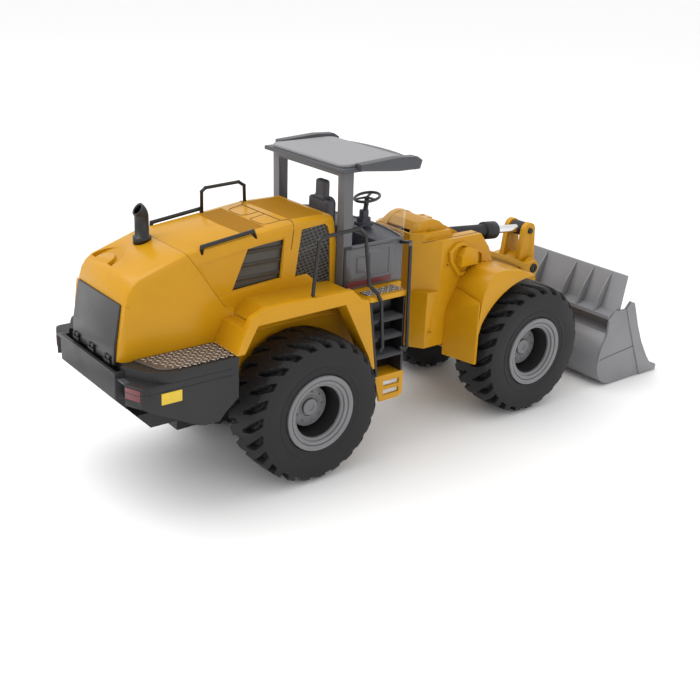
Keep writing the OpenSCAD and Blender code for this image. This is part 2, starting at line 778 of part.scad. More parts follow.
module tilt_barrel() color(charcoal) difference() {
    union() {
        along_tilt() translate([0, 0, 14]) cylinder(r = 7.2, h = 94);
        along_tilt() translate([0, 0, 101]) cylinder(r = 9.6, h = 17);
        forward() pin_across(boom_pivot, 12, -8, 8);
    }
    along_tilt() translate([0, 0, 40]) cylinder(r = 4.5, h = 90);
    forward() slot(boom_pivot, 5.35, 88, -0.2, 1.8, -20, 20);
}

link_len = norm(link_foot - link_top);
link_angle = atan2(link_foot[1] - link_top[1], link_foot[0] - link_top[0]);

module bucket_link() color(yellow) forward() difference() {
    union() {
        pin_across(link_top, 6, -7, 7);
        pin_across(link_foot, 6.5, -7, 7);
        translate([link_top[0], 0, link_top[1]]) rotate([0, 90 - link_angle, 0]) translate([-4.5, -6.4, 0])
            cube([9, 12.8, link_len]);
        pin_across(link_top, trunnion_r, -14.5, 14.5);
    }
    pin_across(link_foot, pin_r + bore_gap, -20, 20);
}

lift_len = norm(lift_eye - lift_base);
lift_angle = atan2(lift_eye[1] - lift_base[1], lift_eye[0] - lift_base[0]);
module along_lift() forward()
    translate([lift_base[0], 0, lift_base[1]]) rotate([0, 90 - lift_angle, 0]) children();
lift_y = 8.6;

module lift_rods() color("#c8c8cc") both_sides() difference() {
    union() {
        along_lift() translate([0, lift_y, 22]) cylinder(r = 2.8, h = lift_len - 26);
        forward() pin_across(lift_eye, 6, lift_y - 4, lift_y + 4);
    }
    forward() pin_across(lift_eye, pin_r + bore_gap, 0, 20);
}

module lift_barrels() color(charcoal) both_sides() difference() {
    union() {
        along_lift() translate([0, lift_y, 8]) cylinder(r = 6, h = 86);
        forward() pin_across(lift_base, 8, lift_y - 4, lift_y + 4);
    }
    along_lift() translate([0, lift_y, 14]) cylinder(r = 3.1, h = 90);
    forward() slot(lift_base, pin_r + 0.4, 51.5, -2.3, 2.3, 0, 20);
}

// ---------------------------------------------------------------- bucket
floor_z = 1;
heel = [410, floor_z + 27];
shelf_rear = 394;

bucket_outside = concat(
    [[490, floor_z], [470, floor_z]],
    arc(heel, 27, 270, 180, 8),
    [[384, 40], [387, 49], [391, 56], [396, 62.5], [404, 64.5], [409, 68], [410, 77], [397, 78],
        [shelf_rear, 80], [shelf_rear, 84], [405.5, 88]]
);

bucket_inside = concat(
    [[420.2, 126], [414, 88], [413, 62], [402, 59.5], [394, 53], [389, 42]],
    arc(heel, 27 - bucket_wall, 170, 270, 8),
    [[490, floor_z + bucket_wall], [500, 126]]
);

module bucket_shell() color(steel) forward() difference() {
    union() {
        side_view(-bucket_y, bucket_y) polygon(concat(bucket_outside, [[417.6, 126], [440, 126], [440, 60],
            [490, floor_z + 3]]));
        for (y = [-28.6, -15, 15, 28.6]) {
            half = 2.1;
            side_view(y - half, y + half) polygon([[396, 22], [385, 26], [371, 27.4], [365.4, 36],
                [372, 44.6], [390, 52]]);
        }
        both_sides() side_view(crank_in + 0.8, 12.8) polygon([[385, 45], [364, 54], [363, 63], [369, 66],
            [376, 65], [392, 68]]);
    }
    side_view(-bucket_y - 1, bucket_y + 1) polygon(bucket_inside);
    both_sides() pin_across(bucket_hinge, pin_r + bore_gap, 10, 35);
    pin_across(link_foot, pin_r + eps, -12.6, 12.6);
}

side_outline = concat(
    [[490, floor_z], [470, floor_z]],
    arc(heel, 27, 270, 180, 8),
    [[384, 40], [387, 49], [391, 56], [shelf_rear, 63.7], [shelf_rear, 79], [405.5, 88], [420.7, 88],
        [427.7, 95.5], [433.4, 93.2], [437.2, 83.6], [445, 64.1], [454.7, 43.8], [468.5, 22.3],
        [476, 13.1], [490, 7]]
);

module bucket_sides() color("#7c7c7e") forward() both_sides() {
    side_view(bucket_y, bucket_y + 2.6) polygon(side_outline);
    side_view(bucket_y + 2.6, bucket_y + 3.8) polygon([[420.7, 88], [427.7, 95.5], [433.4, 93.2],
        [437.2, 83.6], [445, 64.1], [454.7, 43.8], [468.5, 22.3], [476, 13.1], [489, 7], [489, floor_z],
        [460, floor_z], [442.3, 39.1]]);
}

module bucket_ribs() color("#7c7c7e") forward() {
    for (y = [-72, -47, -22, 22, 47, 72]) side_view(y - 1, y + 1) polygon([[394.2, 84.3], [405.3, 88.1],
        [417.3, 125.6], [405.5, 110], [398.2, 97.5]]);
}

module link_pin() color(charcoal) forward() pin_across(link_foot, pin_r, -12.6, 12.6);

rear_chassis();
engine_deck();
hood_rear();
hood_front();
rear_grille();
bumper();
tread_plates();
tail_lamps();
side_reflectors();
exhaust_stack();
hood_rails();
side_louvres();
mesh_panels();
rear_fenders();
cab_platform();
cab_tub();
door_panels();
cab_pillars();
cab_roof();
roof_visor();
windscreen();
dashboard();
steering_wheel();
driver_seat();
cab_grab_rails();
step_ladders();
step_brackets();
steering_pin();
battery_pack();
receiver_board();
rear_gearbox();
body_screws();
axle(0);  // rear_axle
at_wheel(0, 1) tyre();  // rear_left_tyre
at_wheel(0, -1) tyre();  // rear_right_tyre
at_wheel(0, 1) rim();  // rear_left_rim
at_wheel(0, -1) rim();  // rear_right_rim
front_frame();
front_fenders();
headlamp_boxes();
front_gearbox();
front_pins();
axle(wheelbase);  // front_axle
at_wheel(wheelbase, 1) tyre();  // front_left_tyre
at_wheel(wheelbase, -1) tyre();  // front_right_tyre
at_wheel(wheelbase, 1) rim();  // front_left_rim
at_wheel(wheelbase, -1) rim();  // front_right_rim
boom_arms();
boom_pins();
bell_crank();
crank_pin();
tilt_rod();
tilt_barrel();
bucket_link();
lift_rods();
lift_barrels();
bucket_shell();
bucket_sides();
bucket_ribs();
link_pin();
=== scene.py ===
import math

import bmesh
import bpy
from mathutils import Matrix, Vector

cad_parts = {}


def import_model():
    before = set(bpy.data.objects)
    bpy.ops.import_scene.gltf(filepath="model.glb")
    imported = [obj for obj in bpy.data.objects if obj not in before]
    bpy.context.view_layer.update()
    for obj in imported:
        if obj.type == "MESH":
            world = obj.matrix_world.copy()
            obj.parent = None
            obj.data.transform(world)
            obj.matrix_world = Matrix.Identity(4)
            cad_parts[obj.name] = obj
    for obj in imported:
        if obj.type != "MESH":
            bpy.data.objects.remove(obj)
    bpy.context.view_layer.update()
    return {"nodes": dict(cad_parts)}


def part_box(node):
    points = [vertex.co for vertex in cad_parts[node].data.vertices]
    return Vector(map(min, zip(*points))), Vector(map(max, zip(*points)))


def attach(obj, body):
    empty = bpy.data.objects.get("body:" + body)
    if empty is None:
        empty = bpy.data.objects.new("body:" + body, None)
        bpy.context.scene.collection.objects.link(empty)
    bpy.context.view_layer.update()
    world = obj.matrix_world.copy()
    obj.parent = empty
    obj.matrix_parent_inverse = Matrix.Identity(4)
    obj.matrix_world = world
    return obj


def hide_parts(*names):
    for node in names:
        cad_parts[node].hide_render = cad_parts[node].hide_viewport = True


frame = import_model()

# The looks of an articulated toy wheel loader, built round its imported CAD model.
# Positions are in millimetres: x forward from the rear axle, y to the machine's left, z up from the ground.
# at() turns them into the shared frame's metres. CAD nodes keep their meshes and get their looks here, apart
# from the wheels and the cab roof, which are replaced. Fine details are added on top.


MM = 0.001


def middle(node):
    """The centre of a CAD node's box, in metres."""
    low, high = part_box(node)
    return (low + high) / 2


REAR_X = middle("rear_right_tyre").x
WHEELBASE = (middle("front_right_tyre").x - REAR_X) / MM
AXLE_Z = middle("rear_axle").z / MM
HALF_TRACK = 68.5
TYRE_R = 69.0


def at(x, y, z):
    """A place in millimetres from the rear axle, in the frame's metres."""
    return Vector((REAR_X + x * MM, y * MM, z * MM))


# ---------------------------------------------------------------- materials

COAT_ROUGH = 0.12
# The stretch of the large noise over which the colour runs from its darker to its lighter mottling
TONE_FROM, TONE_TO = 0.35, 0.65
# Pointiness where an edge starts to turn lighter, and where it is fully lighter: a painted highlight along
# edges, which on the tyre also stands for scuffs
WEAR_AND_HIGHLIGHT_FROM, WEAR_AND_HIGHLIGHT_TO = 0.51, 0.58
# The stretch of the large noise over which the gloss changes, and how far the roughness strays either way
GLOSS_FROM, GLOSS_TO = 0.3, 0.7
GLOSS_SPREAD = 0.06
BUMP_DISTANCE = 0.0005
RIB_BUMP_DISTANCE = 0.0004
# A colour mix has its two colours on inputs 6 and 7 and its result on output 2
MIX_A, MIX_B, MIX_RESULT = 6, 7, 2


def new_material(name):
    """A material, its node tree and its shader."""
    m = bpy.data.materials.new(name)
    m.use_nodes = True
    return m, m.node_tree, m.node_tree.nodes["Principled BSDF"]


def node(tree, kind, **values):
    """A new node, with each value set on the input of that name or else on the node itself."""
    made = tree.nodes.new(kind)
    for key, value in values.items():
        if key in made.inputs:
            made.inputs[key].default_value = value
        else:
            setattr(made, key, value)
    return made


def map_range(tree, source, low, high, to_low, to_high):
    """A socket that runs from to_low to to_high while its source runs from low to high."""
    made = node(tree, "ShaderNodeMapRange")
    for key, value in (("From Min", low), ("From Max", high), ("To Min", to_low), ("To Max", to_high)):
        made.inputs[key].default_value = value
    tree.links.new(source, made.inputs["Value"])
    return made.outputs["Result"]


def bumped(tree, shader, height, strength, distance):
    """Gives a shader relief from the height on a socket."""
    bump = node(tree, "ShaderNodeBump", Strength=strength, Distance=distance)
    tree.links.new(height, bump.inputs["Height"])
    tree.links.new(bump.outputs["Normal"], shader.inputs["Normal"])


def srgb(r, g, b):
    """A colour given in 8-bit sRGB, as linear RGBA."""
    def linear(c):
        c /= 255
        return c / 12.92 if c <= 0.04045 else ((c + 0.055) / 1.055) ** 2.4
    return (linear(r), linear(g), linear(b), 1.0)


def scaled(colour, k):
    """A colour made k times as bright."""
    return tuple(min(1.0, c * k) for c in colour[:3]) + (1.0,)


def surface(name, colour, rough=0.45, grain=900, grain_depth=0.05, mottle=0.05, wear_and_highlight=0.12, wear_and_highlight_tint=1.5,
            metallic=0.0, coat=0.0, specular=0.5, blotch=30, stretch=(1, 1, 1)):
    """A moulded or painted surface: soft mottling, fine grain, uneven gloss and lighter edges, a painted
    highlight that also stands for wear.
    """
    m, t, shader = new_material(name)
    shader.inputs["Metallic"].default_value = metallic
    shader.inputs["Coat Weight"].default_value = coat
    shader.inputs["Coat Roughness"].default_value = COAT_ROUGH
    shader.inputs["Specular IOR Level"].default_value = specular
    place = node(t, "ShaderNodeTexCoord")
    fit = node(t, "ShaderNodeMapping", Scale=stretch)
    t.links.new(place.outputs["Object"], fit.inputs["Vector"])
    big = node(t, "ShaderNodeTexNoise", Scale=blotch, Detail=3.0, Roughness=0.6)
    fine = node(t, "ShaderNodeTexNoise", Scale=grain, Detail=4.0, Roughness=0.6)
    for noise in (big, fine):
        t.links.new(fit.outputs["Vector"], noise.inputs["Vector"])
    tone = node(t, "ShaderNodeValToRGB")
    dark, light = tone.color_ramp.elements
    dark.position, light.position = TONE_FROM, TONE_TO
    dark.color, light.color = scaled(colour, 1 - mottle), scaled(colour, 1 + mottle)
    t.links.new(big.outputs["Fac"], tone.inputs["Fac"])
    geometry = node(t, "ShaderNodeNewGeometry")
    # Sharp edges are painted lighter: a painted highlight, and wear where the surface is rubbed
    edge = map_range(t, geometry.outputs["Pointiness"], WEAR_AND_HIGHLIGHT_FROM, WEAR_AND_HIGHLIGHT_TO, 0.0, wear_and_highlight)
    worn_and_lit = node(t, "ShaderNodeMix", data_type="RGBA")
    worn_and_lit.inputs[MIX_B].default_value = scaled(colour, wear_and_highlight_tint)
    t.links.new(edge, worn_and_lit.inputs["Factor"])
    t.links.new(tone.outputs["Color"], worn_and_lit.inputs[MIX_A])
    t.links.new(worn_and_lit.outputs[MIX_RESULT], shader.inputs["Base Color"])
    gloss = map_range(t, big.outputs["Fac"], GLOSS_FROM, GLOSS_TO, rough - GLOSS_SPREAD, rough + GLOSS_SPREAD)
    t.links.new(gloss, shader.inputs["Roughness"])
    bumped(t, shader, fine.outputs["Fac"], grain_depth, BUMP_DISTANCE)
    return m


def clear_plastic(name, alpha):
    """Thin clear moulded plastic with faint ripples."""
    m, t, shader = new_material(name)
    shader.inputs["Base Color"].default_value = (0.96, 0.98, 0.99, 1)
    shader.inputs["Roughness"].default_value = 0.03
    shader.inputs["IOR"].default_value = 1.45
    shader.inputs["Transmission Weight"].default_value = 1.0
    shader.inputs["Alpha"].default_value = alpha
    shader.inputs["Specular IOR Level"].default_value = 0.3
    ripple = node(t, "ShaderNodeTexNoise", Scale=60.0, Detail=1.0)
    bumped(t, shader, ripple.outputs["Fac"], 0.008, BUMP_DISTANCE)
    return m


def lamp_lens(name, colour):
    """A coloured lens whose relief is moulded ribs in place of grain."""
    m = surface(name, colour, rough=0.22, mottle=0.1, coat=0.4)
    t = m.node_tree
    place = node(t, "ShaderNodeTexCoord")
    ribs = node(t, "ShaderNodeTexWave", Scale=420.0, wave_type="BANDS", bands_direction="Z")
    t.links.new(place.outputs["Object"], ribs.inputs["Vector"])
    bumped(t, t.nodes["Principled BSDF"], ribs.outputs["Fac"], 0.35, RIB_BUMP_DISTANCE)
    return m


YELLOW = surface("yellow_plastic", srgb(193, 139, 15), rough=0.34, grain=700, grain_depth=0.03, mottle=0.035,
                 wear_and_highlight=0.25, wear_and_highlight_tint=1.35, coat=0.12, specular=0.22)
CHARCOAL = surface("charcoal_plastic", srgb(36, 36, 38), rough=0.42, grain=1500, grain_depth=0.12,
                   wear_and_highlight_tint=1.8, specular=0.35)
GRILLE = surface("grille_plastic", srgb(54, 54, 56), rough=0.36, grain=1600, grain_depth=0.08, specular=0.4)
NET = surface("net_plastic", srgb(78, 76, 74), rough=0.4, grain=1600, grain_depth=0.08)
CAB = surface("cab_plastic", srgb(90, 90, 93), rough=0.36, grain=900, grain_depth=0.05)
ROOF = surface("roof_plastic", srgb(140, 140, 142), rough=0.5, grain=1500, grain_depth=0.1, mottle=0.03)
VISOR = surface("visor_plastic", srgb(66, 67, 71), rough=0.4, grain=1500, grain_depth=0.08)
BLACK = surface("black_plastic", srgb(21, 21, 22), rough=0.36, grain=1400, grain_depth=0.08, wear_and_highlight_tint=2.2)
LOUVRE = surface("louvre_plastic", srgb(66, 62, 56), rough=0.45, grain=1200, grain_depth=0.08)
DASH = surface("dash_plastic", srgb(66, 67, 77), rough=0.45, grain=1800, grain_depth=0.15)
SEAT = surface("seat_plastic", srgb(72, 71, 76), rough=0.5, grain=1600, grain_depth=0.3)
# Near-black for the rims' deep well: painted shade, as the rim plastic itself is the lighter grey
WELL_SHADE = surface("rim_well_shade", srgb(26, 26, 27), rough=0.7, grain=1400, grain_depth=0.1)
SEAM = surface("seam_shadow", srgb(96, 66, 12), rough=0.6, grain=1400, grain_depth=0.05)
RIM = surface("rim_plastic", srgb(116, 116, 118), rough=0.4, grain=1400, grain_depth=0.06, metallic=0.15)
BUCKET = surface("bucket_metal", srgb(126, 126, 129), rough=0.42, grain=260, grain_depth=0.1, mottle=0.06,
                 metallic=0.1, stretch=(1, 0.15, 1))
# The hood ribs take a darker copy of the hood's yellow: painted shade along the ribs
RIB_YELLOW_SHADED = surface("rib_yellow_shaded", srgb(170, 122, 22), rough=0.36, specular=0.3)
# Darker grey for lines along the bucket's side creases: painted shade
BUCKET_CREASE_SHADE = surface("bucket_crease_shade", srgb(70, 70, 72), rough=0.5)
STEEL = surface("steel", srgb(190, 190, 190), rough=0.3, grain=600, grain_depth=0.06, metallic=0.9,
                mottle=0.08)
CHROME = surface("chrome_rod", srgb(225, 225, 228), rough=0.14, grain=500, grain_depth=0.03, metallic=1.0,
                 mottle=0.03)
PLATE_DARK = surface("checker_ground", srgb(92, 84, 78), rough=0.5, grain=900, grain_depth=0.1, metallic=0.3)
PLATE_LIGHT = surface("checker_lozenge", srgb(178, 168, 158), rough=0.34, grain=900, grain_depth=0.08,
                      metallic=0.5)
RED_BAND = surface("red_band", srgb(98, 30, 36), rough=0.4, grain=1200, grain_depth=0.05)
LAMP = lamp_lens("lamp_red", srgb(104, 30, 40))
REFLECTOR = lamp_lens("reflector_yellow", srgb(214, 180, 24))
GEARBOX = surface("gearbox_plastic", srgb(214, 214, 204), rough=0.5)
BATTERY = surface("battery_wrap", srgb(56, 92, 140), rough=0.35, coat=0.3)
BOARD = surface("board_green", srgb(40, 104, 62), rough=0.4, coat=0.4)
SCREEN = clear_plastic("clear_screen", 0.04)
EDGE_CLEAR = clear_plastic("clear_edge", 0.45)
# Tread crowns scuff to a greyer black; these lighter edges are also a painted highlight
RUBBER = surface("tyre_rubber", srgb(32, 32, 34), rough=0.55, grain=1300, grain_depth=0.22, mottle=0.08,
                 wear_and_highlight=0.35, wear_and_highlight_tint=1.9, specular=0.28)


# ---------------------------------------------------------------- mesh helpers

BEVEL_ANGLE = 30
WELD_DISTANCE = 0.00001
MERGE_DISTANCE = 0.000002
FLAT_ANGLE = 0.5


def round_edges(obj, width, segments=2):
    """Rounds an object's sharp edges by a width in millimetres."""
    bevel = obj.modifiers.new("rounding", "BEVEL")
    bevel.width = width * MM
    bevel.segments = segments
    bevel.limit_method = "ANGLE"
    bevel.angle_limit = math.radians(BEVEL_ANGLE)
    bevel.harden_normals = True
    bevel.use_clamp_overlap = True


def closed_mesh(name, verts, faces, merge=0.0):
    """A smooth mesh in metres, with its faces turned outward and points nearer than merge joined."""
    mesh = bpy.data.meshes.new(name)
    mesh.from_pydata([tuple(v) for v in verts], [], faces)
    b = bmesh.new()
    b.from_mesh(mesh)
    if merge:
        bmesh.ops.remove_doubles(b, verts=b.verts, dist=merge)
    bmesh.ops.recalc_face_normals(b, faces=b.faces)
    b.to_mesh(mesh)
    b.free()
    mesh.polygons.foreach_set("use_smooth", [True] * len(mesh.polygons))
    return mesh


def turned_faces(around, n):
    """The faces between closed loops of n points that stand one after another round an axis."""
    faces = []
    for i in range(around):
        j = (i + 1) % around
        for k in range(n):
            m = (k + 1) % n
            faces.append((i * n + k, j * n + k, j * n + m, i * n + m))
    return faces


def circle(sides):
    """The angles of a regular polygon's corners, in radians."""
    return [2 * math.pi * k / sides for k in range(sides)]


class Build:
    """Collects the vertices and faces of one piece. Its methods take millimetres."""

    def __init__(self):
        self.verts = []
        self.faces = []

    def add(self, verts, faces):
        base = len(self.verts)
        self.verts += [at(*v) for v in verts]
        self.faces += [tuple(base + i for i in f) for f in faces]
        return self

    def between(self, near, far):
        """Two outlines with matching points, joined by walls and capped."""
        n = len(near)
        faces = [tuple(range(n)), tuple(range(2 * n - 1, n - 1, -1))]
        faces += [(i, (i + 1) % n, n + (i + 1) % n, n + i) for i in range(n)]
        return self.add(near + far, faces)

    def prism(self, outline, y0, y1):
        """A side-view outline made solid between two distances from the centre line."""
        return self.between([(x, y0, z) for x, z in outline], [(x, y1, z) for x, z in outline])

    def slab(self, outline, z0, z1):
        """A plan outline made solid between two heights."""
        return self.between([(x, y, z0) for x, y in outline], [(x, y, z1) for x, y in outline])

    def block(self, x, y, z):
        """A box, from the low and high end of each side."""
        return self.prism([(x[0], z[0]), (x[1], z[0]), (x[1], z[1]), (x[0], z[1])], y[0], y[1])

    def lathe(self, profile, centre, axis, across, segments):
        """A profile of (radius, distance along the axis) turned about the axis, a unit vector."""
        centre, axis, across = Vector(centre), Vector(axis), Vector(across)
        third = axis.cross(across)
        verts = []
        for a in circle(segments):
            out = across * math.cos(a) + third * math.sin(a)
            verts += [tuple(centre + axis * d + out * r) for r, d in profile]
        return self.add(verts, turned_faces(segments, len(profile)))

    def tube(self, points, radius, sides=8, bend=0.0):
        """A round bar along points, with its corners turned to bends of the given radius."""
        path = [Vector(p) for p in rounded(points, bend)]
        verts, up = [], None
        for i, p in enumerate(path):
            ahead = (path[min(i + 1, len(path) - 1)] - path[max(i - 1, 0)]).normalized()
            if up is None:
                up = ahead.orthogonal().normalized()
            up = (up - ahead * up.dot(ahead)).normalized()
            side = ahead.cross(up)
            verts += [tuple(p + up * (radius * math.cos(a)) + side * (radius * math.sin(a)))
                      for a in circle(sides)]
        faces = []
        for i in range(len(path) - 1):
            for k in range(sides):
                m = (k + 1) % sides
                faces.append((i * sides + k, i * sides + m, (i + 1) * sides + m, (i + 1) * sides + k))
        faces.append(tuple(range(sides)))
        faces.append(tuple((len(path) - 1) * sides + k for k in range(sides)))
        return self.add(verts, faces)

    def both_sides(self):
        """Adds the mirror image of everything so far."""
        n = len(self.verts)
        self.verts += [Vector((v.x, -v.y, v.z)) for v in self.verts]
        self.faces += [tuple(n + i for i in reversed(f)) for f in self.faces]

    def finish(self, name, material, body, slot, *replaced, bevel=0.0, segments=2, smooth=40):
        """Makes the piece, its edges bevelled, or else sharp where they turn by more than smooth degrees."""
        mesh = closed_mesh(name, self.verts, self.faces, MERGE_DISTANCE)
        mesh.materials.append(material)
        obj = bpy.data.objects.new(name, mesh)
        bpy.context.scene.collection.objects.link(obj)
        if bevel:
            round_edges(obj, bevel, segments)
        else:
            mesh.set_sharp_from_angle(angle=math.radians(smooth))
        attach(obj, body)
        if replaced:
            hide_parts(*replaced)


def rounded(points, bend, steps=6):
    """The points of a path with each inner corner turned to an arc-like curve."""
    pts = [Vector(p) for p in points]
    if bend <= 0 or len(pts) < 3:
        return pts
    out = [pts[0]]
    for a, b, c in zip(pts, pts[1:], pts[2:]):
        # A bend takes up just under half of the shorter of its two legs at most
        reach = min(bend, (a - b).length * 0.48, (c - b).length * 0.48)
        p, q = b + (a - b).normalized() * reach, b + (c - b).normalized() * reach
        for i in range(steps + 1):
            s = i / steps
            out.append(p * (1 - s) ** 2 + b * 2 * s * (1 - s) + q * s * s)
    return out + [pts[-1]]


def arc(centre, radius, start, end, steps=6):
    """Points of an arc in plan, angles in degrees."""
    turns = [math.radians(start + (end - start) * i / steps) for i in range(steps + 1)]
    return [(centre[0] + radius * math.cos(a), centre[1] + radius * math.sin(a)) for a in turns]


def rounded_plan(x0, x1, y0, y1, r):
    """A rectangle in plan with round corners."""
    return (arc((x1 - r, y1 - r), r, 0, 90) + arc((x0 + r, y1 - r), r, 90, 180)
            + arc((x0 + r, y0 + r), r, 180, 270) + arc((x1 - r, y0 + r), r, 270, 360))


def dress(names, material, rounding=0.6, segments=2):
    """A CAD node keeps its mesh, and gets merged faces, rounded edges and its material."""
    for name in names.split():
        obj = frame["nodes"][name]
        mesh = obj.data
        mesh.polygons.foreach_set("use_smooth", [True] * len(mesh.polygons))
        mesh.materials.clear()
        mesh.materials.append(material)
        weld = obj.modifiers.new("weld", "WELD")
        weld.merge_threshold = WELD_DISTANCE
        flat = obj.modifiers.new("flats", "DECIMATE")
        flat.decimate_type = "DISSOLVE"
        flat.angle_limit = math.radians(FLAT_ANGLE)
        if rounding:
            round_edges(obj, rounding, segments)


# ---------------------------------------------------------------- carried-over CAD nodes

dress("engine_deck hood_rear hood_front rear_fenders cab_platform", YELLOW, 1.0, 3)
dress("front_frame front_fenders headlamp_boxes step_brackets", YELLOW, 1.0, 3)
dress("boom_arms bell_crank bucket_link", YELLOW, 0.8, 2)
dress("rear_chassis boom_pins crank_pin tilt_barrel lift_barrels link_pin", CHARCOAL, 0.5)
dress("bumper", CHARCOAL, 1.2, 3)
dress("rear_grille", GRILLE, 0.4)
dress("mesh_panels", BLACK, 0.4)
dress("cab_tub cab_pillars", CAB, 0.8, 3)
dress("door_panels", CAB, 0.5)
dress("step_ladders", BLACK, 0.5)
dress("side_louvres", LOUVRE, 0.5)
dress("tread_plates", PLATE_DARK, 0.3)
dress("tail_lamps", LAMP, 0.5)
dress("side_reflectors", REFLECTOR, 0.15)
dress("windscreen", SCREEN, 0)
dress("rear_gearbox front_gearbox", GEARBOX, 0.8)
dress("battery_pack", BATTERY, 2.0)
dress("receiver_board", BOARD, 0.2)
dress("steering_pin body_screws front_pins rear_axle front_axle", STEEL, 0.4)
dress("bucket_shell bucket_sides bucket_ribs", BUCKET, 0.5)
dress("roof_visor", VISOR, 2.0, 3)
dress("dashboard", DASH, 1.5)
dress("exhaust_stack hood_rails cab_grab_rails", BLACK, 0)
dress("driver_seat", SEAT, 3.0, 4)
dress("steering_wheel", VISOR, 0)
dress("tilt_rod lift_rods", CHROME, 0.4)


# ---------------------------------------------------------------- wheels

LUGS = 24
TYRE_COLUMNS = 24 * LUGS
# The tread's middle and half width across its crown, then round shoulders down to the side walls
CROWN_MID = 1.5
CROWN_HALF = 17.5
CROWN_FALL = 0.7
CROWN_STEPS = 34
SHOULDER_R = 9.0
SHOULDER_STEPS = 11
SLOT_DEPTH = 6.5
# In lug pitches: how far a slot has swept round at SWEEP_AT from the tread's middle, its least half width,
# how much wider it gets, and how soft its edge is
SLOT_SWEEP, SWEEP_AT, SWEEP_POWER = 0.75, 24, 1.35
SLOT_NARROW, SLOT_WIDENING, SLOT_EDGE = 0.06, 0.15, 0.03
# Distances from the tread's middle over which a slot starts, widens and fades out
SLOT_STARTS = (3.0, 4.6)
SLOT_WIDENS = (5, 17)
SLOT_FADES = (27.2, 29.0)
TYRE_SHARP = 50

RIM_COLUMNS = 128
RIM_SHARP = 28
BOLTS = 9
BOLT_RING_R = 14.2
# The well between hub and flange, painted near-black as shade in the deep recess: its radii, and how far
# outward it reaches
WELL_FROM, WELL_TO, WELL_TOP = 19.3, 25.0, 21.5
# A stud's chamfer, down and inward, and its dish's radius as a part of the stud's
STUD_CHAMFER, STUD_EDGE, STUD_DISH = 0.5, 0.45, 0.45


def smooth_step(a, b, x):
    """0 up to a, 1 from b on, and a smooth rise between."""
    s = max(0.0, min(1.0, (x - a) / (b - a)))
    return s * s * (3 - 2 * s)


def tyre_profile():
    """Closed section of the tyre: (radius, distance outward, distance across the tread, surface lean)."""
    inner_wall = [(35.0, -20.6), (36.2, -22.8), (40.0, -23.9), (46.0, -24.6), (52.0, -24.9), (56.0, -25.0)]
    outer_wall = [(57.5, 28.3), (54.0, 28.5), (50.5, 28.5), (47.5, 28.4), (44.4, 28.0), (44.0, 28.4),
                  (43.0, 28.4), (42.6, 27.9), (40.0, 27.6), (37.6, 27.2), (36.4, 26.6), (35.4, 25.0)]
    inner_edge, outer_edge = CROWN_MID - CROWN_HALF, CROWN_MID + CROWN_HALF
    across = [(90 * i / SHOULDER_STEPS, inner_edge) for i in range(-SHOULDER_STEPS, 0)]
    across += [(0, inner_edge + CROWN_HALF * 2 * i / CROWN_STEPS) for i in range(1, CROWN_STEPS)]
    across += [(90 * i / SHOULDER_STEPS, outer_edge) for i in range(SHOULDER_STEPS + 1)]
    tread = []
    for lean, d in across:
        a = math.radians(lean)
        fall = CROWN_FALL * ((d - CROWN_MID) / CROWN_HALF) ** 2
        tread.append((TYRE_R - SHOULDER_R + SHOULDER_R * math.cos(a) - fall, d + SHOULDER_R * math.sin(a),
                      d - CROWN_MID + SHOULDER_R * a, a))
    return [p + (None, 0) for p in inner_wall] + tread + [p + (None, 0) for p in outer_wall]


def groove(turn, across):
    """How deep a comma shaped slot is cut at a fraction of a turn and a distance across the tread: 0 to 1."""
    v = abs(across)
    outer = across > 0
    sweep = SLOT_SWEEP * (v / SWEEP_AT) ** SWEEP_POWER * (1 if outer else -1)
    # The slots of the inner half stand half a pitch away from those of the outer half
    phase = (turn * LUGS + sweep + (0 if outer else 0.5)) % 1.0
    width = SLOT_NARROW + SLOT_WIDENING * smooth_step(*SLOT_WIDENS, v)
    cut = 1 - smooth_step(width - SLOT_EDGE, width + SLOT_EDGE, abs(phase - 0.5))
    return cut * smooth_step(*SLOT_STARTS, v) * (1 - smooth_step(*SLOT_FADES, v))


def tyre_mesh():
    """A tyre about Z, which points outward, with its slots cut square to the tread."""
    profile = tyre_profile()
    verts = []
    for i in range(TYRE_COLUMNS):
        turn = i / TYRE_COLUMNS
        a = 2 * math.pi * turn
        for r, d, across, lean in profile:
            cut = 0.0 if across is None else SLOT_DEPTH * groove(turn, across)
            radius = r - cut * math.cos(lean)
            verts.append((radius * math.cos(a), radius * math.sin(a), d - cut * math.sin(lean)))
    faces = turned_faces(TYRE_COLUMNS, len(profile))
    mesh = closed_mesh("tyre", [tuple(c * MM for c in v) for v in verts], faces)
    mesh.materials.append(RUBBER)
    mesh.set_sharp_from_angle(angle=math.radians(TYRE_SHARP))
    return mesh


def stud(x, y, foot, top, r, sides):
    """The points and faces of a round stud with a chamfered edge and a dish in its end."""
    rings = [(r, foot), (r, top - STUD_CHAMFER), (r - STUD_EDGE, top), (r * STUD_DISH, top),
             (r * STUD_DISH, top - STUD_CHAMFER)]
    verts = [(x + rr * math.cos(a), y + rr * math.sin(a), z) for rr, z in rings for a in circle(sides)]
    faces = []
    for low in range(0, (len(rings) - 1) * sides, sides):
        high = low + sides
        faces += [(low + k, low + (k + 1) % sides, high + (k + 1) % sides, high + k) for k in range(sides)]
    faces.append(tuple((len(rings) - 1) * sides + k for k in range(sides)))
    return verts, faces


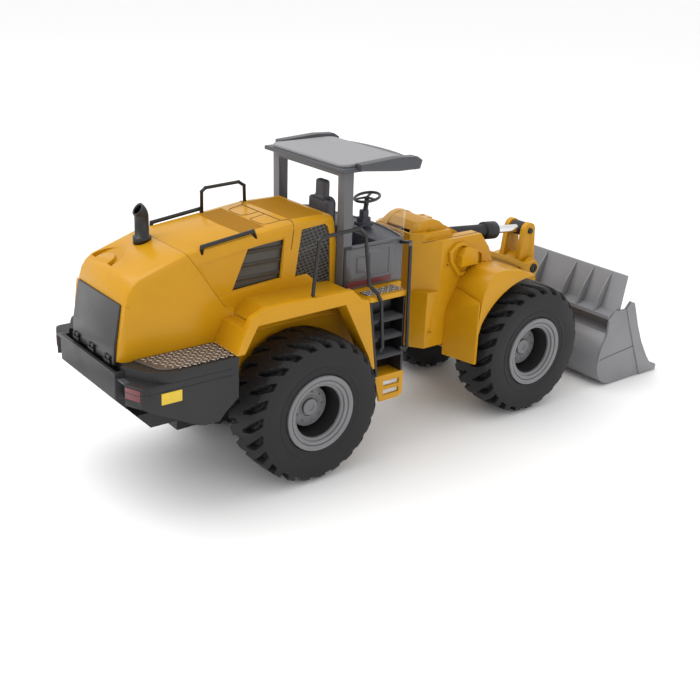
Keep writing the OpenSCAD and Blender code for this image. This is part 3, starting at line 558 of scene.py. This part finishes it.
def rim_mesh():
    """A rim about Z, which points outward: stepped flange, deep well, hub, bolt ring and cap."""
    profile = [
        (4.0, -10.5), (18.5, -10.5), (18.5, -14.0), (26.5, -14.0), (31.9, -12.0), (33.4, -21.5),
        (36.0, -21.5), (36.0, 27.9), (35.6, 28.5), (35.0, 28.6), (31.9, 28.1), (31.4, 27.6), (31.2, 26.4),
        (30.8, 26.4), (30.5, 27.2), (28.0, 26.8), (27.5, 26.4), (27.2, 24.9), (25.3, 24.5), (24.8, 24.0),
        (24.5, 22.5), (24.5, -12.0), (19.5, -12.0), (19.5, 8.6), (19.0, 9.3), (18.4, 9.5), (11.9, 9.8),
        (11.5, 9.3), (10.6, 9.3), (10.2, 9.8), (9.2, 9.9), (8.8, 8.9), (4.0, 8.9)
    ]
    verts = [(r * math.cos(a), r * math.sin(a), d) for a in circle(RIM_COLUMNS) for r, d in profile]
    faces = turned_faces(RIM_COLUMNS, len(profile))
    studs = [stud(BOLT_RING_R * math.cos(a), BOLT_RING_R * math.sin(a), 8.0, 10.9, 1.2, 12)
             for a in circle(BOLTS)]
    hub_cap = stud(0, 0, 8.5, 11.8, 7.9, 40)
    for stud_verts, stud_faces in studs + [hub_cap]:
        base = len(verts)
        verts += stud_verts
        faces += [tuple(base + i for i in f) for f in stud_faces]
    mesh = closed_mesh("rim", [tuple(c * MM for c in v) for v in verts], faces)
    mesh.materials.append(RIM)
    mesh.materials.append(WELL_SHADE)
    # Faces in the well get the near-black material: painted shade for the deep recess
    for face in mesh.polygons:
        radius = math.hypot(face.center.x, face.center.y) / MM
        if WELL_FROM < radius < WELL_TO and face.center.z < WELL_TOP * MM:
            face.material_index = 1
    mesh.set_sharp_from_angle(angle=math.radians(RIM_SHARP))
    return mesh


def wheel(x, side, body, name):
    """A tyre and a rim at one corner, Z turned outward. Side is 1 on the left and -1 on the right."""
    turn = Matrix.Rotation(math.radians(-90 * side), 4, "X")
    place = Matrix.Translation(at(x, side * HALF_TRACK, AXLE_Z)) @ turn
    for kind, mesh, slot in (("tyre", TYRE_MESH, "tyre_rubber"), ("rim", RIM_MESH, "rim_plastic")):
        obj = bpy.data.objects.new(f"{name}_{kind}_detail", mesh)
        bpy.context.scene.collection.objects.link(obj)
        obj.matrix_world = place
        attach(obj, body)
        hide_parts(f"{name}_{kind}")


TYRE_MESH = tyre_mesh()
RIM_MESH = rim_mesh()
for axle_x, end in ((0, "rear"), (WHEELBASE, "front")):
    wheel(axle_x, 1, end + "_wheels", end + "_left")
    wheel(axle_x, -1, end + "_wheels", end + "_right")


# ---------------------------------------------------------------- tread plates

DECK_TOP_Z = 138.2
DECK_PITCH = 4.4
STRIP_TOP_Z = 164.0
STRIP_PITCH = 3.5
# A lozenge's half length and half width in pitches, its height, and its flat top as a part of its foot
LOZENGE_LONG, LOZENGE_WIDE = 0.46, 0.17
LOZENGE_HIGH = 0.55
LOZENGE_TOP = 0.62
LOZENGE_SIDES = 10
PLATE_SHARP = 25


def everywhere(x, y):
    """True at every place."""
    return True


def on_deck(x, y):
    """True on the deck plate, inside its slanted outer rear corner."""
    return x > -152 + max(0, y - 55) * 0.62


def lozenges(b, x, y, z, pitch, keep):
    """Raised lozenges in a basket pattern, each a low faceted mound, where keep(x, y) is true."""
    half_long, half_wide, n = pitch * LOZENGE_LONG, pitch * LOZENGE_WIDE, LOZENGE_SIDES
    walls = [(k, (k + 1) % n, n + (k + 1) % n, n + k) for k in range(n)]
    for i in range(int((x[1] - x[0]) / pitch) + 1):
        for j in range(int((y[1] - y[0]) / pitch) + 1):
            cx, cy = x[0] + (i + 0.5) * pitch, y[0] + (j + 0.5) * pitch
            if not keep(cx, cy):
                continue
            lean = math.radians(45 if (i + j) % 2 else -45)
            foot, top = [], []
            for t in circle(n):
                u, v = half_long * math.cos(t), half_wide * math.sin(t)
                dx = u * math.cos(lean) - v * math.sin(lean)
                dy = u * math.sin(lean) + v * math.cos(lean)
                foot.append((cx + dx, cy + dy, z))
                top.append((cx + dx * LOZENGE_TOP, cy + dy * LOZENGE_TOP, z + LOZENGE_HIGH))
            b.add(foot + top, walls + [tuple(range(n, 2 * n))])


deck_pattern = Build()
lozenges(deck_pattern, (-157, -82), (47.5, 78.5), DECK_TOP_Z, DECK_PITCH, on_deck)
deck_pattern.both_sides()
deck_pattern.finish("deck_lozenges", PLATE_LIGHT, "rear", "checker_plate", smooth=PLATE_SHARP)

strip_pattern = Build()
lozenges(strip_pattern, (61.5, 102), (67.3, 78), STRIP_TOP_Z, STRIP_PITCH, everywhere)
strip_pattern.both_sides()
strip_pattern.finish("platform_lozenges", PLATE_LIGHT, "rear", "checker_plate", smooth=PLATE_SHARP)


# ---------------------------------------------------------------- hood details

# The hood's top is level ahead of HOOD_BREAK_X and falls toward the tail, by HOOD_FALL over HOOD_RUN
HOOD_TOP_Z = 233.0
HOOD_BREAK_X = 2
HOOD_FALL, HOOD_RUN = 12.5, 109
RIBS_EACH_SIDE = 17
RIB_PITCH = 2.05
RIB_R = 0.6
RIB_REAR_X, RIB_SPREAD = -48, 0.04
RIB_GAP_X = (-23.2, 3.5)
RIB_FRONT_X = 40.0
SEAM_R = 0.42
LID_SEAM_R = 0.38
BAR_SHARP = 60
# The mesh panel's outline in side view, and the crossing wires that fill it: lean in degrees and pitch
MESH_OUTLINE = [(10, 225), (35, 227), (38.5, 224), (41.3, 216), (43.3, 168), (37.7, 166), (16.8, 183),
                (3.7, 182.5)]
MESH_MIDDLE = (25, 197)
MESH_Y = -44.3
MESH_WIRES = ((10, 3.1), (116, 4.2))
MESH_REACH = 30
WIRE_R = 0.8
SHORTEST_WIRE = 0.6


def hood_top(x):
    """Height of the hood's top face."""
    return HOOD_TOP_Z if x > HOOD_BREAK_X else HOOD_TOP_Z + (x - HOOD_BREAK_X) * HOOD_FALL / HOOD_RUN


def clipped(outline, start, direction):
    """The stretches of an endless line that lie inside an outline."""
    hits = []
    for (x0, z0), (x1, z1) in zip(outline, outline[1:] + outline[:1]):
        ex, ez = x1 - x0, z1 - z0
        cross = direction[0] * ez - direction[1] * ex
        if abs(cross) < 1e-9:
            continue
        along = ((x0 - start[0]) * ez - (z0 - start[1]) * ex) / cross
        on_edge = ((x0 - start[0]) * direction[1] - (z0 - start[1]) * direction[0]) / cross
        if 0 <= on_edge < 1:
            hits.append(along)
    hits.sort()
    return [(a, b) for a, b in zip(hits[::2], hits[1::2]) if b - a > SHORTEST_WIRE]


# Ribs on the hood top, in the darker yellow that paints their shade
ribs = Build()
for i in range(-RIBS_EACH_SIDE, RIBS_EACH_SIDE + 1):
    y = i * RIB_PITCH
    for x0, x1 in ((RIB_REAR_X + RIB_SPREAD * abs(y), RIB_GAP_X[0]), (RIB_GAP_X[1], RIB_FRONT_X)):
        ribs.tube([(x0, y, hood_top(x0)), (x1, y, hood_top(x1))], RIB_R)
ribs.finish("hood_ribs", RIB_YELLOW_SHADED, "rear", "yellow_plastic", smooth=BAR_SHARP)

seams = Build()
hatch = [(-1.3, -46.0, 208.2), (1.3, -46.0, 226.0), (1.6, -44.4, 231.2), (2.0, -41.0, HOOD_TOP_Z),
         (1.6, -36, HOOD_TOP_Z), (-4.0, -33, 232.4), (-4.0, 31, 232.4), (1.6, 36, HOOD_TOP_Z),
         (2.0, 41.0, HOOD_TOP_Z), (1.6, 44.4, 231.2), (1.3, 46.0, 226.0), (-1.3, 46.0, 208.2)]
seams.tube(hatch, SEAM_R, bend=1.5)
for y0, y1 in ((29, 4), (-8.7, -31)):
    lid = [(-4.6, y0 + 1), (-15, y0), (-20.8, y0 - 2 * (y0 > 0)), (-22, (y0 + y1) / 2), (-20.8, y1),
           (-14, y1 - 2), (-4.6, y1 - 2)]
    seams.tube([(x, y, hood_top(x)) for x, y in lid], LID_SEAM_R, bend=2.5)
seams.finish("hood_seams", SEAM, "rear", "yellow_plastic", smooth=BAR_SHARP)

net = Build()
for angle, pitch in MESH_WIRES:
    d = (math.cos(math.radians(angle)), math.sin(math.radians(angle)))
    for i in range(-MESH_REACH, MESH_REACH + 1):
        start = (MESH_MIDDLE[0] - d[1] * pitch * i, MESH_MIDDLE[1] + d[0] * pitch * i)
        for ends in clipped(MESH_OUTLINE, start, d):
            net.tube([(start[0] + d[0] * t, MESH_Y, start[1] + d[1] * t) for t in ends], WIRE_R, sides=6)
net.both_sides()
net.finish("mesh_net", NET, "rear", "grille_plastic", smooth=BAR_SHARP)


# ---------------------------------------------------------------- cab details

ROOF_LOW_Z, TRAY_TOP_Z, PANEL_LOW_Z, ROOF_TOP_Z = 274, 278, 277.5, 281.2
DOOR_LOW_Z, WAIST_Z = 166.2, 204.6
COLUMN_X, COLUMN_Y = 112, -6.5
SCREEN_X, SCREEN_Y = 120.6, -55.4
SEAT_BACK_X = 70.5
TREAD_HEIGHTS = (101.5, 120, 138)
# The ladder's rear edge at its top, how far it moves forward per unit down, and how far in a tread starts
LADDER_X, LADDER_TOP_Z, LADDER_LEAN, LADDER_INSET = 60.6, 157.8, 0.152, 2.3
TREAD_RIDGES = 7
RIDGE_PITCH = 1.9
RIDGE_WIDE = 0.8

roof = Build()
roof.block((41, 122), (-62, 62), (ROOF_LOW_Z, TRAY_TOP_Z))
roof.finish("roof_tray", VISOR, "rear", "visor_plastic", "cab_roof", bevel=1.2, segments=3)
panel = Build()
panel.slab(rounded_plan(44.5, 118, -57, 57, 8), PANEL_LOW_Z, ROOF_TOP_Z)
panel.finish("roof_panel", ROOF, "rear", "roof_plastic", "cab_roof", bevel=1.4, segments=3)

band = Build()
band.block((53.5, 106), (-58.0, -57.2), (DOOR_LOW_Z + 0.1, 171)).both_sides()
band.finish("door_bands", RED_BAND, "rear", "lamp_red", bevel=0.2)

posts = Build()
post = [(49.8, DOOR_LOW_Z), (57.6, DOOR_LOW_Z), (58.6, WAIST_Z), (49.8, WAIST_Z)]
posts.prism(post, -57.3, -56.1).both_sides()
posts.finish("door_posts", BLACK, "rear", "black_plastic", bevel=0.4)

column = Build()
for low, high, half in ((205.5, 209, 7.5), (208.5, 214, 5.6), (213.5, 221, 4.0)):
    step = rounded_plan(COLUMN_X - half, COLUMN_X + half, COLUMN_Y - half * 0.9, COLUMN_Y + half * 0.9, 2)
    column.slab(step, low, high)
column.finish("column_base", DASH, "rear", "dash_plastic", bevel=0.6)

screen_edge = Build()
curve = [(SCREEN_X, 205.6), (SCREEN_X + 0.5, 240), (SCREEN_X - 0.4, 271)]
screen_edge.tube([(x, SCREEN_Y, z) for x, z in curve], 0.4, bend=8)
screen_edge.both_sides()
screen_edge.finish("windscreen_edges", EDGE_CLEAR, "rear", "clear_screen", smooth=BAR_SHARP)

treads = Build()
for z in TREAD_HEIGHTS:
    x = LADDER_X + (LADDER_TOP_Z - z) * LADDER_LEAN + LADDER_INSET
    treads.block((x, 101.2), (-83.6, -70.4), (z + 1.3, z + 2.0))
    for k in range(TREAD_RIDGES):
        y = -82.4 + k * RIDGE_PITCH
        treads.block((x + 1, 100.2), (y, y + RIDGE_WIDE), (z + 1.8, z + 2.5))
treads.both_sides()
treads.finish("ladder_treads", VISOR, "rear", "visor_plastic", bevel=0.15)

seat_frame = Build()
back = [(-13.5, 200), (-13.5, 235), (-10, 238), (10, 238), (13.5, 235), (13.5, 200)]
seat_frame.tube([(SEAT_BACK_X, y, z) for y, z in back], 1.0, sides=10, bend=3)
for z in (206, 214, 222, 230):
    seat_frame.tube([(SEAT_BACK_X - 0.3, -11, z), (SEAT_BACK_X - 0.3, 11, z)], 0.8)
seat_frame.finish("seat_piping", DASH, "rear", "dash_plastic", smooth=BAR_SHARP)


# ---------------------------------------------------------------- bumper details

LAMP_Y = (54.5, 66.0)
SHELF_X = (-176.3, -171)
SHELF_Z = (127.2, 128.6)
# The two dark lines round the bumper, painted shade in its grooves: the height of each, and how far back it
# is set
BUMPER_GROOVE_SHADE = ((127.4, 0.0), (121.5, 0.3))
LINE_R = 0.5
HINGE_Y = (-30.0, 0.0, 30.0)
HINGE_HALF = 5.5
BARREL_X, BARREL_Z, BARREL_HALF = -172.6, 139.0, 1.5
BARREL_SPREAD = 3.4

shelf = Build()
shelf.block(SHELF_X, LAMP_Y, SHELF_Z).both_sides()
shelf.finish("lamp_shelves", VISOR, "rear", "charcoal_plastic", bevel=0.3)

# Black tubes along the bumper's grooves: painted shade
groove_shade = Build()
side_line = [(-86.0, -84.0), (-148.0, -84.0), (-166.0, -84.0), (-169.5, -82.0), (-175.6, -66.8)]
for z, set_back in BUMPER_GROOVE_SHADE:
    groove_shade.tube([(x - set_back, y, z) for x, y in side_line], LINE_R, bend=3)
groove_shade.both_sides()
groove_shade.finish("bumper_groove_shade", BLACK, "rear", "charcoal_plastic", smooth=BAR_SHARP)

hinges = Build()
barrel = [(0.6, -BARREL_HALF), (1.7, -BARREL_HALF), (1.7, BARREL_HALF), (0.6, BARREL_HALF)]
for y in HINGE_Y:
    hinges.block((-174.0, -171.5), (y - HINGE_HALF, y + HINGE_HALF), (134.6, 137.2))
    for side in (-1, 1):
        centre = (BARREL_X, y + BARREL_SPREAD * side, BARREL_Z)
        hinges.lathe(barrel, centre, (0, 1, 0), (1, 0, 0), segments=20)
hinges.finish("grille_hinges", BLACK, "rear", "grille_plastic", bevel=0.15)


# ---------------------------------------------------------------- front frame and linkage details

TOWER_SIDE_Y = 40.0
BUCKET_SIDE_Y = -95.8
EDGE_TOP_Z = 4.6
EDGE_BOLTS = 6
EDGE_BOLT_PITCH = 34
ARM_SIDE_Y = -26
SCREW_SEAT_Y = -45
# Centre of the tilt rod's eye, where the top pin crosses the bell crank
ROD_EYE = (340.5, 0, 169.5)
ROD_EYE_HALF = 7.3
LENS_X, LENS_Y, LENS_Z = (221.4, 222.4), (-53.2, -48.3), (163.8, 174.5)
LENS_RIBS = 6
LENS_RIB_PITCH = 1.6

tower_seams = Build()
for y in (-TOWER_SIDE_Y, TOWER_SIDE_Y):
    tower_seams.tube([(160, y, 189.0), (235, y, 189.0), (247.7, y, 173.0), (255.7, y, 154.7)], 0.4, bend=2)
tower_seams.finish("tower_seams", SEAM, "front", "yellow_plastic", smooth=BAR_SHARP)

# A dark line along each side plate's crease: painted shade
crease_shade = Build()
crease_shade.tube([(x, BUCKET_SIDE_Y, z) for x, z in ((385.5, 34), (410, 36.5), (442.3, 39.1))], 0.35)
crease_shade.both_sides()
crease_shade.finish("side_crease_shade", BUCKET_CREASE_SHADE, "bucket", "bucket_metal", smooth=BAR_SHARP)

edges = Build()
edges.block((462, 489.5), (-93, 93), (EDGE_TOP_Z - 1, EDGE_TOP_Z))
edge_bolt = [(0.8, 0), (2.6, 0), (2.6, 0.6), (2.0, 1.2), (0.8, 1.2)]
for k in range(EDGE_BOLTS):
    y = (k - (EDGE_BOLTS - 1) / 2) * EDGE_BOLT_PITCH
    edges.lathe(edge_bolt, (474, y, EDGE_TOP_Z - 0.2), (0, 0, 1), (1, 0, 0), segments=20)
edges.finish("cutting_edge", STEEL, "bucket", "bucket_metal", bevel=0.25)

seats = Build()
screw_seat = [(0.9, 0), (3.4, 0), (3.4, 0.5), (2.9, 0.9), (1.9, 0.9), (1.9, 0.2), (0.9, 0.2)]
for x, z in ((190.3, 163.0), (172.4, 95.0)):
    seats.lathe(screw_seat, (x, SCREW_SEAT_Y, z), (0, -1, 0), (1, 0, 0), segments=28)
seats.both_sides()
seats.finish("tower_screw_seats", YELLOW, "front", "yellow_plastic", bevel=0.12)

caps = Build()
for x, z, r in ((340, 130, 5.2), (285, 120, 4.6)):
    cap = [(1.2, 0), (r, 0), (r, 0.9), (r - 0.7, 1.5), (1.2, 1.5)]
    caps.lathe(cap, (x, ARM_SIDE_Y, z), (0, -1, 0), (1, 0, 0), segments=32)
caps.both_sides()
caps.finish("boom_pin_caps", CHARCOAL, "boom", "charcoal_plastic", bevel=0.2)

eye = Build()
ring = [(3.6, -ROD_EYE_HALF), (7.7, -ROD_EYE_HALF), (7.7, ROD_EYE_HALF), (3.6, ROD_EYE_HALF)]
eye.lathe(ring, ROD_EYE, (0, 1, 0), (1, 0, 0), segments=48)
eye.finish("rod_eye", CHARCOAL, "tilt_rod", "chrome_rod", bevel=0.5)

lens = Build()
lens.block(LENS_X, LENS_Y, LENS_Z)
for k in range(LENS_RIBS):
    z = LENS_Z[0] + 1 + k * LENS_RIB_PITCH
    lens.tube([(LENS_X[1], LENS_Y[0] + 0.2, z), (LENS_X[1], LENS_Y[1] - 0.2, z)], 0.5)
lens.both_sides()
lens.finish("headlamp_lenses", STEEL, "front", "steel")


# ---------------------------------------------------------------- floor, light and camera

FLOOR_HALF = 40.0
WORLD_STRENGTH = 0.97
# The camera looks forward and to the left from behind the machine's right: degrees, then lens millimetres
YAW, PITCH, ROLL = 52.93, 20.86, 1.89
LENS, SENSOR = 54.82, 36.0
SHIFT_X, SHIFT_Y = 0.0443, -0.0329
CAMERA_PLACE = (-522.5, -780.4, 479.6)


def stage():
    """A wide pale floor."""
    s = FLOOR_HALF
    mesh = bpy.data.meshes.new("floor")
    mesh.from_pydata([(-s, -s, 0), (s, -s, 0), (s, s, 0), (-s, s, 0)], [], [(0, 1, 2, 3)])
    floor = bpy.data.objects.new("floor", mesh)
    bpy.context.scene.collection.objects.link(floor)
    m, _, shader = new_material("floor_white")
    shader.inputs["Roughness"].default_value = 0.6
    shader.inputs["Specular IOR Level"].default_value = 0.2
    shader.inputs["Base Color"].default_value = (1, 1, 1, 1)
    mesh.materials.append(m)


def world():
    """An even white studio all round."""
    w = bpy.data.worlds.new("studio")
    w.use_nodes = True
    background = w.node_tree.nodes["Background"]
    background.inputs["Color"].default_value = (1, 1, 1, 1)
    background.inputs["Strength"].default_value = WORLD_STRENGTH
    bpy.context.scene.world = w


def area_light(name, place, target, size, power):
    """A soft light at a place in metres, turned to a target."""
    data = bpy.data.lights.new(name, "AREA")
    data.shape = "RECTANGLE"
    data.size, data.size_y = size
    data.energy = power
    obj = bpy.data.objects.new(name, data)
    bpy.context.scene.collection.objects.link(obj)
    obj.location = place
    obj.rotation_mode = "QUATERNION"
    obj.rotation_quaternion = (Vector(target) - Vector(place)).to_track_quat("-Z", "Y")


def camera():
    """The view at rest, from a little above."""
    yaw, pitch, roll = (math.radians(a) for a in (YAW, PITCH, ROLL))
    flat = Vector((math.cos(yaw), math.sin(yaw), 0))
    forward = flat * math.cos(pitch) - Vector((0, 0, math.sin(pitch)))
    right = Vector((math.sin(yaw), -math.cos(yaw), 0))
    up = right.cross(forward)
    right, up = (right * math.cos(roll) + up * math.sin(roll), up * math.cos(roll) - right * math.sin(roll))
    data = bpy.data.cameras.new("camera")
    data.sensor_width = SENSOR
    data.lens = LENS
    data.shift_x = SHIFT_X
    data.shift_y = SHIFT_Y
    data.clip_start, data.clip_end = 0.01, 100
    obj = bpy.data.objects.new("camera", data)
    bpy.context.scene.collection.objects.link(obj)
    turn = Matrix((right, up, -forward)).transposed().to_4x4()
    obj.matrix_world = Matrix.Translation(at(*CAMERA_PLACE)) @ turn
    bpy.context.scene.camera = obj


stage()
world()
area_light("key", (-0.9, 0.6, 2.0), (0, 0, 0.05), (1.6, 1.6), 22)
area_light("fill", (0.4, -2.0, 1.0), (0, 0, 0.1), (1.6, 1.0), 3)
camera()
bpy.context.scene.view_settings.view_transform = "Standard"
